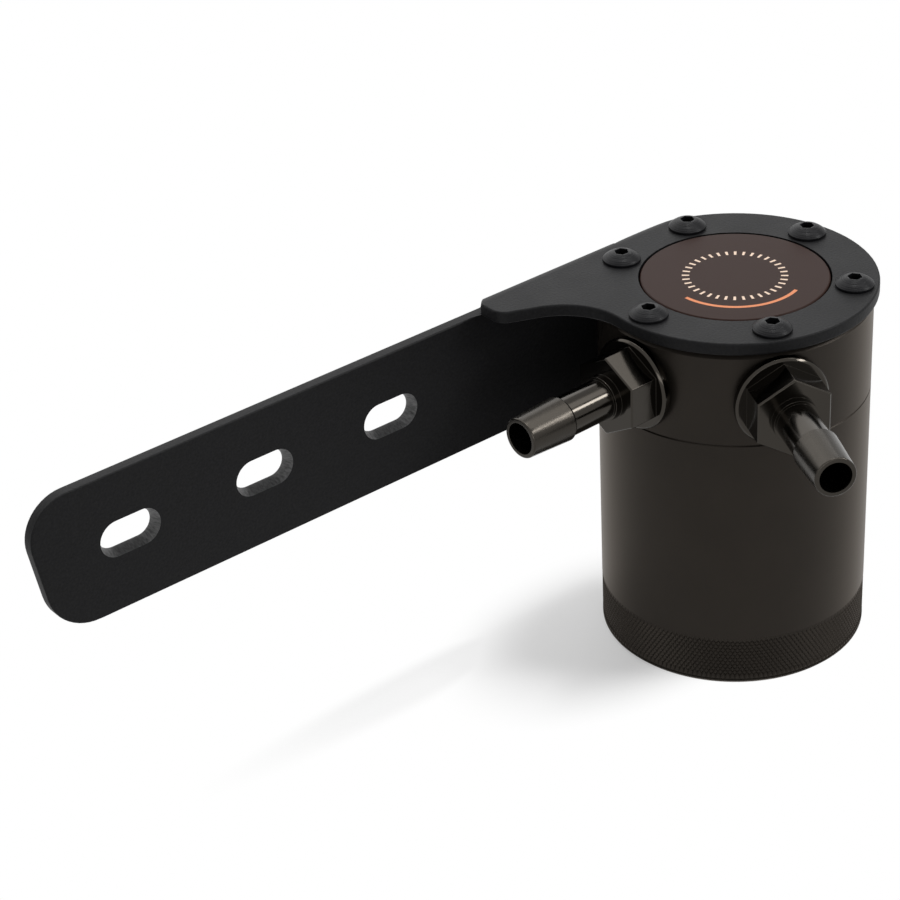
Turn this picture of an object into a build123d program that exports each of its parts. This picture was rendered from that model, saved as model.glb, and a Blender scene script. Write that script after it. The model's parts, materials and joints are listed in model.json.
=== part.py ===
from build123d import *
import os
from math import cos, radians, sin, sqrt, tan

# Oil catch can. A knurled cup screws up into a turned head. The head carries
# two hose fittings, a folded mounting bracket and a badge, and inside the cup
# a filter, a drop tube and a baffle plate.
# Millimetres, Z up, origin at the centre of the cup's base. The bracket's arm
# runs along the back of the can (+Y side) towards -X.

# Can: a cup turned from bar, with a knurled grip round its foot
can_radius = 32.0
can_height = 66.0
can_wall = 3.5
can_floor = 4.0
floor_chamfer = 2.0
base_chamfer = 0.8
grip_foot = 1.2
grip_height = 11.8
grip_recess = 0.15
seam_chamfer = 0.25

# Screwed joint between can and head, with its square-cut seal ring
spigot_length = 10.8
spigot_wall = 4.3
spigot_lead = 0.6
thread_clearance = 0.2
seal_section = 2.4
seal_gland_height = 2.8
seal_gland_depth = 1.4
seal_clearance = 0.05

# Bracket screws: button heads with a hexagon socket, in three pairs placed evenly about a line
# nearly square to the fold; the pair next to the fold sits closer together
screw_pair_spreads = (24.5, 86.7, 148.7)
screw_edge = 4.4
screw_thread_radius = 2.25
screw_hole_gap = 0.1
screw_tip_gap = 0.4
screw_tip_chamfer = 0.4
screw_grip = 5.0
screw_head_radius = 4.5
screw_head_rim = 0.6
screw_head_height = 2.2
screw_head_flat = 1.9
screw_dome_radius = 7.0
screw_socket_across = 3.0
screw_socket_depth = 1.6
pattern_turn = 4.0

# Hose fittings: hexagon, flange and barb turned in one piece
port_turn = 1.5
port_step = 62.2
fitting_thread_radius = 5.9
fitting_thread_length = 10.7
fitting_bore_radius = 3.7
fitting_flange_radius = 11.0
fitting_flange_thickness = 2.0
fitting_flange_chamfer = 0.5
fitting_flange_lift = 0.2
fitting_flange_margin = 0.8
hex_across_flats = 17.0
hex_height = 7.6
hex_edge_break = 0.3
collar_radius = 5.4
collar_length = 1.8
neck_radius = 4.75
neck_length = 11.6
barb_radius = 5.3
barb_back = 0.55
barb_length = 12.6
barb_tip_radius = 4.75
barb_tip_fillet = 0.4
port_hole_gap = 0.1
port_end_gap = 0.4
port_cover = 0.8
port_floor = 2.3
port_seal_radius = 9.1
port_seal_gap = 0.3

# Head: passages from the ports to the inside of the can
passage_radius = 4.5
plenum_cover = 1.0

# Bracket: one sheet, cut, folded once and coated
plate_thickness = 3.0
ring_overhang = 1.2
badge_margin = 1.15
badge_gap = 0.4
badge_chamfer = 0.3
screw_plate_gap = 0.5
bend_inner_radius = 2.0
arm_clearance = 0.5
bend_gap = 0.1
arm_reach = 174.1
arm_drop = 4.0
arm_height = 33.7
arm_end_lean = 9.8
arm_top_corner_radius = 10.0
arm_low_corner_radius = 12.0
arm_hidden_corner_radius = 6.0
arm_root_offset = 8.0
flange_reach = 18.0
flange_end_depth = 6.6
flange_front_lean = 24.0
flange_blend_radius = 16.5
flange_corner_radius = 3.8
slot_count = 3
slot_spacing = 35.5
slot_inset = 25.8
slot_drop = 16.0
slot_width = 7.0
slot_length = 13.6
slot_flare = 0.9
slot_flare_depth = 2.0

# Inside the can: filter, gasket, drop tube and baffle plate
filter_gasket_thickness = 1.0
filter_fit_gap = 0.1
filter_collar_thickness = 2.0
filter_seat_width = 3.0
filter_shoulder = 2.0
filter_wall = 3.5
filter_neck_length = 3.5
filter_bottom_gap = 1.5
tube_radius = 4.0
tube_wall = 0.8
tube_fit_gap = 0.1
tube_hole_wall = 0.5
tube_top_gap = 0.3
tube_length = 43.0
tube_cut_angle = 40.0
baffle_thickness = 1.5
baffle_rim_gap = 0.9
baffle_tube_gap = 0.4
baffle_hole_radius = 1.5
baffle_web = 1.0
baffle_inner_hole_count = 6
baffle_outer_hole_count = 12
baffle_screw_count = 3
baffle_screw_turn = 33.0
baffle_screw_thread_radius = 1.25
baffle_screw_gap = 0.1
baffle_screw_plate_gap = 0.3
baffle_screw_grip = 5.0
baffle_screw_tip_gap = 0.5
baffle_screw_head_radius = 2.0
baffle_screw_head_height = 1.5
baffle_screw_slot_width = 0.8
baffle_screw_slot_depth = 0.7

# Screwed joint, worked out from the can's bore
can_bore_radius = can_radius - can_wall
spigot_radius = can_bore_radius - thread_clearance
spigot_bottom = can_height - spigot_length
recess_radius = spigot_radius - spigot_wall
gland_radius = spigot_radius - seal_gland_depth
seal_inner_radius = gland_radius + seal_clearance
seal_outer_radius = seal_inner_radius + seal_section
seal_bottom = can_height - (seal_gland_height + seal_section) / 2
mouth_radius = seal_outer_radius + seal_clearance
mouth_depth = seal_gland_height + thread_clearance

# Ports: the head is as tall as the flanges and the screws above them need
port_angles = (180 + port_turn, 180 + port_turn + port_step)
inlet_angle, outlet_angle = port_angles
port_hole_radius = fitting_thread_radius + port_hole_gap
port_z = can_height + fitting_flange_radius + fitting_flange_margin
screw_stack = port_hole_radius + port_cover + screw_tip_gap + screw_grip
head_top = port_z + max(screw_stack, fitting_flange_radius + fitting_flange_margin)
recess_roof = port_z - port_hole_radius - port_floor
plenum_top = port_z + passage_radius + plenum_cover
spot_radius = port_seal_radius + port_seal_gap
port_seat = sqrt(can_radius**2 - spot_radius**2)
flange_back = can_radius + fitting_flange_lift
flange_front = flange_back + fitting_flange_thickness
fitting_start = flange_back - fitting_thread_length
hex_front = flange_front + hex_height
neck_start = hex_front + collar_length
barb_start = neck_start + neck_length
fitting_tip = barb_start + barb_length
port_end = fitting_start - port_end_gap

# Drop tube and filter share the room inside the head's recess
tube_hole_radius = tube_radius + tube_fit_gap
tube_circle_radius = port_end - tube_hole_wall - tube_hole_radius
tube_top = port_z - passage_radius - tube_top_gap
filter_collar_radius = tube_circle_radius - tube_radius - tube_hole_wall
plenum_radius = filter_collar_radius - filter_seat_width
filter_body_radius = filter_collar_radius - filter_shoulder
filter_seat = recess_roof - filter_gasket_thickness
filter_bottom = spigot_bottom + filter_bottom_gap
baffle_bottom = spigot_bottom - baffle_thickness
baffle_radius = can_bore_radius - baffle_rim_gap
baffle_screw_circle = recess_radius + spigot_wall / 2
baffle_outer_ring = tube_circle_radius - tube_radius - baffle_tube_gap - baffle_web - baffle_hole_radius
baffle_inner_ring = baffle_outer_ring / 2

# Bracket: ring round the badge, and an arm behind the can
screw_angles = [90 + pattern_turn + side * spread for spread in screw_pair_spreads for side in (-1, 1)]
screw_circle_radius = can_radius - screw_edge
badge_radius = screw_circle_radius - screw_head_radius - badge_margin
ring_radius = can_radius + ring_overhang
plate_top = head_top + plate_thickness
arm_front = can_radius + arm_clearance
bend_outer_radius = bend_inner_radius + plate_thickness
bend_line = arm_front - bend_inner_radius
head_chamfer = can_radius - bend_line + bend_gap
bend_foot = plate_top - bend_outer_radius
arm_top = plate_top - arm_drop
arm_bottom = arm_top - arm_height
arm_low_corner = (-arm_reach + arm_height * tan(radians(arm_end_lean)), arm_bottom)
flange_end = -(ring_radius + flange_reach)
fold_start = flange_end + flange_corner_radius
fold_end = -arm_root_offset
flange_tip_y = bend_line - flange_end_depth
flange_root_y = flange_tip_y + flange_end * tan(radians(flange_front_lean))
slot_middle = -arm_reach + slot_inset + slot_spacing * (slot_count - 1) / 2

os.makedirs("parts", exist_ok=True)


def port_plane(angle, distance):
    """A plane square to a port's axis, this far out from the can's axis, with its x direction up."""
    outward = Vector(cos(radians(angle)), sin(radians(angle)), 0)
    return Plane(origin=outward * distance + Vector(0, 0, port_z), x_dir=(0, 0, 1), z_dir=outward)


def finish(piece, name):
    """Label a finished piece and write it as a STEP file of the same name."""
    piece.part.label = name
    export_step(piece.part, f"parts/{name}.step")


# Can: one revolved section, with the seal ring's pocket at its mouth
with BuildPart() as can_body:
    with BuildSketch(Plane.XZ):
        with BuildLine():
            Polyline(
                (0, 0),
                (can_radius - base_chamfer, 0),
                (can_radius, base_chamfer),
                (can_radius, grip_foot),
                (can_radius - grip_recess, grip_foot),
                (can_radius - grip_recess, grip_foot + grip_height),
                (can_radius, grip_foot + grip_height),
                (can_radius, can_height - seam_chamfer),
                (can_radius - seam_chamfer, can_height),
                (mouth_radius, can_height),
                (mouth_radius, can_height - mouth_depth),
                (can_bore_radius, can_height - mouth_depth),
                (can_bore_radius, can_floor + floor_chamfer),
                (can_bore_radius - floor_chamfer, can_floor),
                (0, can_floor),
                close=True,
            )
        make_face()
    revolve(axis=Axis.Z)
finish(can_body, "can_body")

# Seal ring in the gland at the spigot's root
with BuildPart() as can_seal:
    with BuildSketch(Plane.XY.offset(seal_bottom)):
        Circle(seal_outer_radius)
        Circle(seal_inner_radius, mode=Mode.SUBTRACT)
    extrude(amount=seal_section)
finish(can_seal, "can_seal")

# Head: a revolved section with its spigot, recess and plenum, then the drilled holes
with BuildPart() as port_head:
    with BuildSketch(Plane.XZ):
        with BuildLine():
            Polyline(
                (0, plenum_top),
                (plenum_radius, plenum_top),
                (plenum_radius, recess_roof),
                (recess_radius, recess_roof),
                (recess_radius, spigot_bottom),
                (spigot_radius - spigot_lead, spigot_bottom),
                (spigot_radius, spigot_bottom + spigot_lead),
                (spigot_radius, can_height - seal_gland_height),
                (gland_radius, can_height - seal_gland_height),
                (gland_radius, can_height),
                (can_radius - seam_chamfer, can_height),
                (can_radius, can_height + seam_chamfer),
                (can_radius, head_top - head_chamfer),
                (can_radius - head_chamfer, head_top),
                (0, head_top),
                close=True,
            )
        make_face()
    revolve(axis=Axis.Z)
    with BuildSketch(Plane.XY.offset(head_top)):
        for angle in screw_angles:
            with PolarLocations(screw_circle_radius, 1, start_angle=angle):
                Circle(screw_thread_radius + screw_hole_gap)
    extrude(amount=-(screw_grip + screw_tip_gap), mode=Mode.SUBTRACT)
    with BuildSketch(Plane.XY.offset(spigot_bottom)):
        with PolarLocations(baffle_screw_circle, baffle_screw_count, start_angle=baffle_screw_turn):
            Circle(baffle_screw_thread_radius + baffle_screw_gap)
    extrude(amount=baffle_screw_grip + baffle_screw_tip_gap, mode=Mode.SUBTRACT)
    for angle in port_angles:
        with BuildSketch(port_plane(angle, port_seat)):
            Circle(spot_radius)
        extrude(amount=can_radius, mode=Mode.SUBTRACT)
        with BuildSketch(port_plane(angle, port_seat)):
            Circle(port_hole_radius)
        extrude(amount=port_end - port_seat, mode=Mode.SUBTRACT)
    with BuildSketch(port_plane(outlet_angle, port_seat)):
        Circle(passage_radius)
    extrude(amount=-port_seat, mode=Mode.SUBTRACT)
    with BuildSketch(port_plane(inlet_angle, port_seat)):
        Circle(passage_radius)
    extrude(amount=tube_circle_radius - port_seat, mode=Mode.SUBTRACT)
    with BuildSketch(Plane.XY.offset(recess_roof)):
        with PolarLocations(tube_circle_radius, 1, start_angle=inlet_angle):
            Circle(tube_hole_radius)
    extrude(amount=port_z - recess_roof, mode=Mode.SUBTRACT)
finish(port_head, "port_head")

# Bracket: ring and flange cut flat, one fold along the flange's back edge, and the slotted arm
with BuildPart() as mounting_bracket:
    with BuildSketch(Plane.XY.offset(head_top)) as plate:
        Circle(ring_radius)
        with BuildLine():
            Polyline(
                (0, bend_line),
                (flange_end, bend_line),
                (flange_end, flange_tip_y),
                (0, flange_root_y),
                close=True,
            )
        make_face()
        ring_corner = plate.vertices().filter_by_position(Axis.X, flange_end, 0).sort_by(Axis.Y)[0]
        fillet(ring_corner, flange_blend_radius)
        for tip_corner in ((flange_end, flange_tip_y), (flange_end, bend_line)):
            fillet(plate.vertices().sort_by_distance(tip_corner)[0], flange_corner_radius)
        with Locations((fold_end, bend_line)):
            Rectangle(ring_radius, ring_radius, align=(Align.MAX, Align.MIN), mode=Mode.SUBTRACT)
        Circle(badge_radius + badge_gap, mode=Mode.SUBTRACT)
        for angle in screw_angles:
            with PolarLocations(screw_circle_radius, 1, start_angle=angle):
                Circle(screw_thread_radius + screw_plate_gap, mode=Mode.SUBTRACT)
    extrude(amount=plate_thickness)
    with BuildSketch(Plane.YZ.offset(fold_start)):
        with Locations((bend_line, bend_foot)):
            Circle(bend_outer_radius)
            Circle(bend_inner_radius, mode=Mode.SUBTRACT)
            Rectangle(bend_outer_radius, bend_outer_radius, align=(Align.MIN, Align.MIN), mode=Mode.INTERSECT)
    extrude(amount=fold_end - fold_start)
    with BuildSketch(Plane.XZ.offset(-arm_front)) as arm:
        with BuildLine():
            Polyline(
                (-arm_reach, arm_top),
                (fold_start, arm_top),
                (fold_start, bend_foot),
                (fold_end, bend_foot),
                (fold_end, arm_bottom),
                arm_low_corner,
                close=True,
            )
        make_face()
        fillet(arm.vertices().sort_by(Axis.X)[0], arm_top_corner_radius)
        fillet(arm.vertices().sort_by_distance(arm_low_corner)[0], arm_low_corner_radius)
        fillet(arm.vertices().sort_by_distance((fold_end, arm_bottom))[0], arm_hidden_corner_radius)
        with Locations((slot_middle, arm_top - slot_drop)):
            with GridLocations(slot_spacing, slot_spacing, slot_count, 1):
                SlotOverall(slot_length, slot_width, mode=Mode.SUBTRACT)
    extrude(amount=-plate_thickness)
    front_faces = mounting_bracket.faces().filter_by(Axis.Y).filter_by_position(Axis.Y, arm_front, arm_front)
    arm_face = front_faces.sort_by(SortBy.AREA)[-1]
    slot_rims = [edge for wire in arm_face.inner_wires() for edge in wire.edges()]
    chamfer(slot_rims, slot_flare, slot_flare_depth, reference=arm_face)
finish(mounting_bracket, "mounting_bracket")

# Badge: a plain disc set in the bracket's ring, flush with its top
with BuildPart() as badge_disc:
    with Locations((0, 0, head_top)):
        Cylinder(badge_radius, plate_thickness, align=(Align.CENTER, Align.CENTER, Align.MIN))
    chamfer(badge_disc.edges().group_by(Axis.Z)[-1], badge_chamfer)
finish(badge_disc, "badge_disc")

# One bracket screw, seated on the plate on the can's axis
with BuildPart() as screw:
    with BuildSketch(Plane.XZ):
        with BuildLine():
            tip = head_top - screw_grip
            Polyline(
                (0, plate_top + screw_head_height),
                (0, tip),
                (screw_thread_radius - screw_tip_chamfer, tip),
                (screw_thread_radius, tip + screw_tip_chamfer),
                (screw_thread_radius, plate_top),
                (screw_head_radius, plate_top),
                (screw_head_radius, plate_top + screw_head_rim),
            )
            RadiusArc(
                (screw_head_radius, plate_top + screw_head_rim),
                (screw_head_flat, plate_top + screw_head_height),
                -screw_dome_radius,
            )
            Line((screw_head_flat, plate_top + screw_head_height), (0, plate_top + screw_head_height))
        make_face()
    revolve(axis=Axis.Z)
    with BuildSketch(Plane.XY.offset(plate_top + screw_head_height)):
        RegularPolygon(screw_socket_across / 2, 6, major_radius=False)
    extrude(amount=-screw_socket_depth, mode=Mode.SUBTRACT)

# Six of them, each in its hole
with BuildPart() as bracket_screws:
    for angle in screw_angles:
        with PolarLocations(screw_circle_radius, 1, start_angle=angle):
            add(screw.part)
finish(bracket_screws, "bracket_screws")

# Hose fittings and the sealing washers under their flanges
for port_name, angle in zip(("inlet", "outlet"), port_angles):
    along = port_plane(angle, 0)
    section_plane = Plane(origin=along.origin, x_dir=along.z_dir, z_dir=along.y_dir)
    with BuildPart() as fitting:
        with BuildSketch(section_plane):
            with BuildLine():
                Polyline(
                    (fitting_start, 0),
                    (fitting_start, fitting_thread_radius),
                    (flange_back, fitting_thread_radius),
                    (flange_back, fitting_flange_radius),
                    (flange_front - fitting_flange_chamfer, fitting_flange_radius),
                    (flange_front, fitting_flange_radius - fitting_flange_chamfer),
                    (flange_front, collar_radius),
                    (neck_start, collar_radius),
                    (neck_start, neck_radius),
                    (barb_start, neck_radius),
                    (barb_start + barb_back, barb_radius),
                    (fitting_tip, barb_tip_radius),
                    (fitting_tip, 0),
                    close=True,
                )
            make_face()
        revolve(axis=Axis(along.origin, along.z_dir))
        with BuildSketch(port_plane(angle, flange_front)):
            RegularPolygon(hex_across_flats / 2, 6, major_radius=False)
        extrude(amount=hex_height)
        hex_face = fitting.faces().filter_by(lambda face: len(face.outer_wire().edges()) == 6)[0]
        chamfer(hex_face.outer_wire().edges(), hex_edge_break)
        tip_edges = fitting.edges().filter_by(GeomType.CIRCLE)
        tip_centre = port_plane(angle, fitting_tip).origin
        fillet(tip_edges.sort_by_distance(tip_centre)[0], barb_tip_fillet)
        with BuildSketch(port_plane(angle, fitting_start)):
            Circle(fitting_bore_radius)
        extrude(amount=fitting_tip - fitting_start, mode=Mode.SUBTRACT)
    finish(fitting, f"{port_name}_fitting")
    with BuildPart() as washer:
        with BuildSketch(port_plane(angle, port_seat)):
            Circle(port_seal_radius)
            Circle(port_hole_radius, mode=Mode.SUBTRACT)
        extrude(amount=flange_back - port_seat)
    finish(washer, f"{port_name}_seal")

# Filter: a closed sintered cup with a collar, and a neck pushed into the plenum
with BuildPart() as bronze_filter:
    with BuildSketch(Plane.XZ):
        with BuildLine():
            Polyline(
                (0, filter_bottom),
                (filter_body_radius, filter_bottom),
                (filter_body_radius, filter_seat - filter_collar_thickness),
                (filter_collar_radius, filter_seat - filter_collar_thickness),
                (filter_collar_radius, filter_seat),
                (plenum_radius - filter_fit_gap, filter_seat),
                (plenum_radius - filter_fit_gap, recess_roof + filter_neck_length),
                (filter_body_radius - filter_wall, recess_roof + filter_neck_length),
                (filter_body_radius - filter_wall, filter_bottom + filter_wall),
                (0, filter_bottom + filter_wall),
                close=True,
            )
        make_face()
    revolve(axis=Axis.Z)
finish(bronze_filter, "bronze_filter")

# Gasket between the filter's collar and the roof of the recess
with BuildPart() as filter_gasket:
    with BuildSketch(Plane.XY.offset(filter_seat)):
        Circle(filter_collar_radius)
        Circle(plenum_radius, mode=Mode.SUBTRACT)
    extrude(amount=filter_gasket_thickness)
finish(filter_gasket, "filter_gasket")

# Drop tube: carries the inlet's flow down past the baffle, with a slanted lower end
with BuildPart() as drop_tube:
    with BuildSketch(Plane.XY.offset(tube_top)):
        with PolarLocations(tube_circle_radius, 1, start_angle=inlet_angle):
            Circle(tube_radius)
            Circle(tube_radius - tube_wall, mode=Mode.SUBTRACT)
    extrude(amount=-tube_length)
    tube_axis = Vector(cos(radians(inlet_angle)), sin(radians(inlet_angle)), 0) * tube_circle_radius
    low_end = Plane(origin=tube_axis + Vector(0, 0, tube_top - tube_length + tube_radius))
    split(bisect_by=low_end.rotated((0, tube_cut_angle, 0)), keep=Keep.TOP)
finish(drop_tube, "drop_tube")

# Baffle plate: a perforated disc under the spigot
with BuildPart() as baffle_plate:
    with BuildSketch(Plane.XY.offset(baffle_bottom)):
        Circle(baffle_radius)
        with PolarLocations(tube_circle_radius, 1, start_angle=inlet_angle):
            Circle(tube_radius + baffle_tube_gap, mode=Mode.SUBTRACT)
        with PolarLocations(baffle_screw_circle, baffle_screw_count, start_angle=baffle_screw_turn):
            Circle(baffle_screw_thread_radius + baffle_screw_plate_gap, mode=Mode.SUBTRACT)
        with PolarLocations(baffle_inner_ring, baffle_inner_hole_count):
            Circle(baffle_hole_radius, mode=Mode.SUBTRACT)
        with PolarLocations(baffle_outer_ring, baffle_outer_hole_count):
            Circle(baffle_hole_radius, mode=Mode.SUBTRACT)
    extrude(amount=baffle_thickness)
finish(baffle_plate, "baffle_plate")

# One baffle screw with a slotted pan head, on the can's axis
with BuildPart() as small_screw:
    with BuildSketch(Plane.XY.offset(baffle_bottom)):
        Circle(baffle_screw_thread_radius)
    extrude(amount=baffle_thickness + baffle_screw_grip)
    with BuildSketch(Plane.XY.offset(baffle_bottom)):
        Circle(baffle_screw_head_radius)
    extrude(amount=-baffle_screw_head_height)
    with BuildSketch(Plane.XY.offset(baffle_bottom - baffle_screw_head_height)):
        Rectangle(2 * baffle_screw_head_radius, baffle_screw_slot_width)
    extrude(amount=baffle_screw_slot_depth, mode=Mode.SUBTRACT)

with BuildPart() as baffle_screws:
    with PolarLocations(baffle_screw_circle, baffle_screw_count, start_angle=baffle_screw_turn):
        add(small_screw.part)
finish(baffle_screws, "baffle_screws")
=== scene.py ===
"""Oil catch can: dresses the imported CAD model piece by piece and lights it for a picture."""

import json
from math import atan2, ceil, cos, pi, radians, sqrt

import bpy
from mathutils import Matrix, Vector

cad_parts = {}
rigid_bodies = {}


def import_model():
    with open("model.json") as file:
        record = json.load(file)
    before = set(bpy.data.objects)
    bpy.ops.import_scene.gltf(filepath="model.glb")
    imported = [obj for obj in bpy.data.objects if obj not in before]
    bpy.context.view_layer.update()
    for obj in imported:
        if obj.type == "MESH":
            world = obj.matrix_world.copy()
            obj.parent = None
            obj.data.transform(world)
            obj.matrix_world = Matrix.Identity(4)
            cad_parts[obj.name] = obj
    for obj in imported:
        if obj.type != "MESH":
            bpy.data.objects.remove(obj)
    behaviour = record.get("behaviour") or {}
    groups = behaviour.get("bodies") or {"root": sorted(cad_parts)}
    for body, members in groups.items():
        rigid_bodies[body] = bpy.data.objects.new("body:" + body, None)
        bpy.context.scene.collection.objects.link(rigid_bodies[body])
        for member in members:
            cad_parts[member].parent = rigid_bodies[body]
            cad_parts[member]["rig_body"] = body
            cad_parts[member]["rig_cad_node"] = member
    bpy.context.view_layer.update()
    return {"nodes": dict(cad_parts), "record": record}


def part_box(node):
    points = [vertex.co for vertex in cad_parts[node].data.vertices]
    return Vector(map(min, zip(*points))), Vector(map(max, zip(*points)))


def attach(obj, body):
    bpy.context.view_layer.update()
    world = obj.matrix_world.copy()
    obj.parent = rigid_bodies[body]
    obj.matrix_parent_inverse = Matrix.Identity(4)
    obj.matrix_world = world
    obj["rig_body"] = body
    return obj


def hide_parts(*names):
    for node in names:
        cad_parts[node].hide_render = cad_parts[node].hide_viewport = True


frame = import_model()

bl_info = {
    "name": "Oil catch can",
    "version": (1, 0, 0),
    "blender": (4, 5, 0),
    "location": "View3D > Sidebar > Catch can",
    "description": "Dresses the CAD model of an oil catch can and sets up its studio picture",
    "category": "Object",
}

MM = 0.001

# Points of the CAD mesh this close are one point, and so are those along a seam or bevel of a new mesh
MERGE_DISTANCE = 0.0005 * MM
SEAM_DISTANCE = 0.005 * MM

# How exactly a point has to lie on a radius, a level or a line to be picked by it
BAND_TOLERANCE = 0.02 * MM

# How far the flare of a slot reaches past the slot
SLOT_RIM = 1.2 * MM

# Lean of the cut corner on the back of the bend: its way along X for each unit along Y
CORNER_LEAN = 0.93

# Slivers that are closed up at the two ends of the bend
SLIVER_DEPTH = 0.15 * MM
SLIVER_WIDTH = 0.4 * MM
FOLD_END_GAP = 0.2 * MM

# Faces that differ less are one flat, edges that turn more are broken, outlined or kept sharp
FLAT_ANGLE = radians(0.5)
EDGE_ANGLE = radians(32)
OUTLINE_ANGLE = radians(50)
SMOOTH_ANGLE = radians(30)


def linear(hex_colour):
    """An sRGB hex colour as linear RGBA."""
    channels = [int(hex_colour[i : i + 2], 16) / 255 for i in (1, 3, 5)]
    return (*(c / 12.92 if c <= 0.04045 else ((c + 0.055) / 1.055) ** 2.4 for c in channels), 1.0)


def colour_property(name, description, hex_colour):
    """A colour that a user can change, with its default given as sRGB hex."""
    return bpy.props.FloatVectorProperty(
        name=name, description=description, subtype="COLOR", size=4, min=0, max=1, default=linear(hex_colour)
    )


def length_property(name, description, millimetres):
    """A length that a user can change, with its default given in millimetres."""
    return bpy.props.FloatProperty(
        name=name, description=description, unit="LENGTH", min=0, precision=5, default=millimetres * MM
    )


def angle_property(name, description, degrees):
    """An angle that a user can change, with its default given in degrees."""
    return bpy.props.FloatProperty(
        name=name, description=description, unit="ROTATION", default=radians(degrees)
    )


def place_property(name, description, millimetres):
    """A place or an extent, on the floor or in space, with its default given in millimetres."""
    return bpy.props.FloatVectorProperty(
        name=name,
        description=description,
        subtype="TRANSLATION",
        unit="LENGTH",
        size=len(millimetres),
        default=[length * MM for length in millimetres],
    )


def number_property(name, description, value):
    """A plain number that a user can change."""
    return bpy.props.FloatProperty(name=name, description=description, min=0, default=value)


class CatchCanSizes(bpy.types.PropertyGroup):
    """Sizes of the detail that the scene adds to the CAD model"""

    knurl_pitch: length_property("Knurl pitch", "Width of one diamond of the grip", 1.15)
    knurl_rise: length_property("Knurl row", "Height of half a diamond of the grip", 0.9)
    knurl_depth: length_property("Knurl depth", "From the diamonds' points to the grooves between them", 0.4)
    grip_recess: length_property("Grip recess", "How far the CAD model's grip band lies below the can", 0.15)
    thread_pitch: length_property("Thread pitch", "Pitch of the thread on the head's spigot", 2.0)
    thread_depth: length_property("Thread depth", "Depth of the thread on the head's spigot", 0.6)
    sheet_edge: length_property("Sheet edge", "Rounding on the bracket's outline", 0.45)
    flange_reach: length_property("Flange reach", "From the can's axis to the flange's straight end", 51.2)
    fold_reach: length_property("Fold reach", "From the can's axis to the end of the fold", 47.4)
    bend_line: length_property("Bend line", "From the can's axis to the start of the bracket's bend", 30.5)
    bend_radius: length_property("Bend radius", "Outer radius of the bracket's bend", 5.0)
    arm_drop: length_property("Arm drop", "From the flange's top down to the arm's top edge", 4.0)
    edge_break: length_property("Edge break", "Rounding on the pieces' sharp edges", 0.12)
    barb_start: length_property("Barb start", "From the can's axis to the shoulder of a fitting's barb", 55.2)
    tick_radius: length_property("Tick ring", "Middle radius of the ring of ticks printed on the badge", 11.4)
    tick_length: length_property("Tick length", "Length of one printed tick", 1.7)
    arc_radius: length_property("Arc", "Radius of the arc printed on the badge", 15.6)
    arc_width: length_property("Arc width", "Width of the printed arc", 0.9)
    arc_middle: angle_property("Arc middle", "Direction of the middle of the printed arc", -128)
    arc_reach: angle_property("Arc reach", "How far the printed arc runs to each side of its middle", 56)


class CatchCanColours(bpy.types.PropertyGroup):
    """Colours of the finishes"""

    anodised: colour_property("Anodised", "Satin anodising of can and head", "#211E1B")
    anodised_pale: colour_property("Anodised, paler", "Paler patches in the anodising", "#292521")
    anodised_gloss: colour_property("Anodised, gloss", "Tint of the anodising's gloss", "#FFF4E8")
    coat: colour_property("Powder coat", "Coating of the bracket", "#0A0A0B")
    coat_pale: colour_property("Powder coat, paler", "Raised grain of the coating", "#202021")
    # Paler than a thin coat alone: it also carries the painted light on the slots' walls
    coat_thin_and_lit: colour_property("Powder coat, thin", "Thin coat on the walls of the punched slots", "#909090")
    badge: colour_property("Badge", "Anodising of the badge", "#281915")
    badge_pale: colour_property("Badge, paler", "Paler grain of the badge", "#30201B")
    tick: colour_property("Ticks", "Ink of the ring of ticks", "#E6CDB8")
    arc: colour_property("Arc", "Ink of the arc", "#D98A62")
    fitting: colour_property("Fittings", "Dark bright anodising of the hose fittings", "#393632")
    screw: colour_property("Screws", "Black oxide on the screws", "#111113")
    rubber: colour_property("Rubber", "Nitrile rubber of the seals", "#101010")
    bronze: colour_property("Bronze", "Sintered bronze of the filter", "#8D6A3F")
    # Painted shade: the dark of the pores between the filter's beads
    bronze_pore_shade: colour_property("Bronze, darker", "Pores between the grains of bronze", "#4A3520")
    tube: colour_property("Tube", "Drawn aluminium of the drop tube", "#B9BABD")
    baffle: colour_property("Baffle", "Brushed steel of the baffle plate and its screws", "#9A9B9E")


class CatchCanStage(bpy.types.PropertyGroup):
    """Camera, floor and light"""

    camera_place: place_property("Camera place", "Where the camera stands", (-388.29, -388.22, 375.07))
    camera_azimuth: angle_property("Camera azimuth", "Turn of the camera about the vertical", -37.898)
    camera_elevation: angle_property("Camera elevation", "How far the camera looks down", 30.803)
    camera_roll: angle_property("Camera roll", "Turn of the camera about its own axis", -3.1)
    camera_lens: bpy.props.FloatProperty(
        name="Lens", description="Focal length on a 36 mm sensor", unit="CAMERA", default=106.02
    )
    floor_colour: colour_property("Floor", "Colour of the floor", "#F4F4F4")
    foot_white: number_property("Foot white", "How much of the floor by the foot is plain white", 0.34)
    arm_white: number_property("Arm white", "How much of the floor under the arm is plain white", 0.7)
    foot_middle: place_property("Foot shadow", "Middle of the oval by the foot that keeps shadow", (-28, 14))
    foot_shadow: place_property("Foot shadow's size", "Half length and half width of that oval", (52, 34))
    arm_middle: place_property("Arm shadow", "Middle of the oval under the arm that keeps shadow", (-72, 29))
    arm_shadow: place_property("Arm shadow's size", "Half length and half width of that oval", (75, 9))
    sky_colour: colour_property("Sky colour", "Colour of the light all round", "#FFFFFF")
    sky_strength: number_property("Sky", "Brightness of the light all round", 0.15)
    key_strength: number_property("Key light", "Brightness of the small lamp overhead", 60.0)
    top_strength: number_property("Top light", "Brightness of the wide softbox overhead", 2.0)
    back_strength: number_property("Back light", "Brightness of the wide softbox behind the object", 1.3)
    side_strength: number_property("Side light", "Brightness of the narrow softbox at the right", 20.0)
    front_strength: number_property("Front light", "Brightness of the low softbox at the camera", 3.0)


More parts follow.
